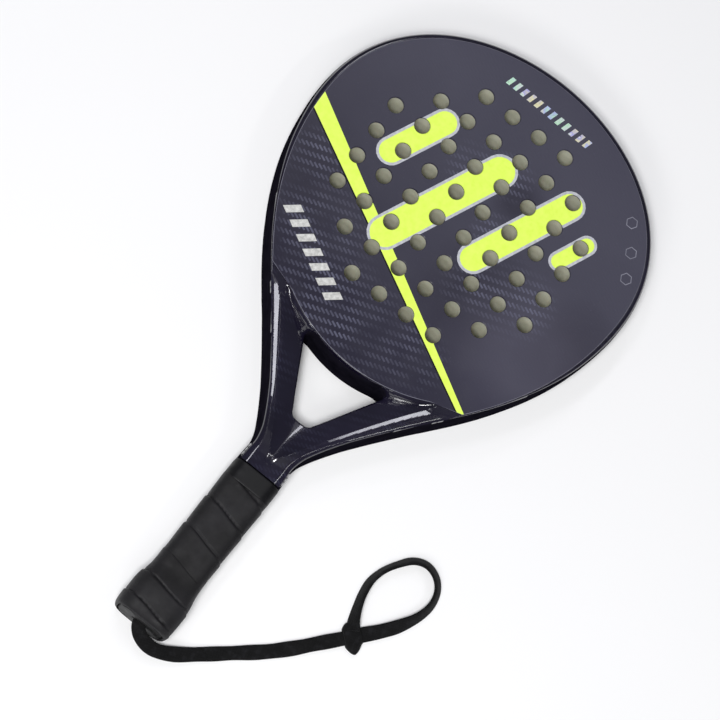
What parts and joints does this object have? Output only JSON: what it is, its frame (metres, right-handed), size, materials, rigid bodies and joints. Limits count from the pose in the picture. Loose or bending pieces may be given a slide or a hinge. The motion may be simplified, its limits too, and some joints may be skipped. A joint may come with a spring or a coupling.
{
  "type": "padel racket",
  "caption": "Padel racket with a perforated foam-cored head, a moulded tube frame with an open throat, a wound grip and a wrist strap.",
  "frame": {"origin": "middle of the racket's box on the surface it lies on, the wrist strap left out", "axes": "+Y from the handle to the tip, +X across the face, +Z out of the front face"},
  "size_m": [0.2692, 0.4674, 0.038],
  "materials": {
    "frame_lacquer": "gloss lacquer over carbon tube",
    "face_laminate": "satin lacquered fibre laminate with a lime stripe",
    "core_foam": "cut closed-cell foam",
    "handle_laminate": "bare laminate",
    "cap_plastic": "moulded",
    "staple_steel": "plated wire",
    "grip_leather": "soft grained synthetic leather",
    "collar_tape": "smooth tape",
    "strap_webbing": "woven"
  },
  "bodies": {
    "racket": {"frame_hoop": "frame_lacquer", "arm_right": "frame_lacquer", "arm_left": "frame_lacquer", "throat_bridge": "frame_lacquer", "throat_wedge": "frame_lacquer", "foam_core": "core_foam", "front_face": "face_laminate", "rear_face": "face_laminate", "handle_shell": "handle_laminate", "butt_cap": "cap_plastic", "staple_right": "staple_steel", "staple_left": "staple_steel", "grip_wrap": "grip_leather", "grip_collar": "collar_tape", "strap_knot": "strap_webbing", "wrist_strap": "strap_webbing"},
    "running_eye": {"strap_eye": "strap_webbing"}
  },
  "joints": [
    {"name": "eye_slide", "type": "slide", "parent": "racket", "child": "running_eye", "axis": [0.6494, 0.7604, 0], "range_m": [-0.024, 0.008]}
  ]
}
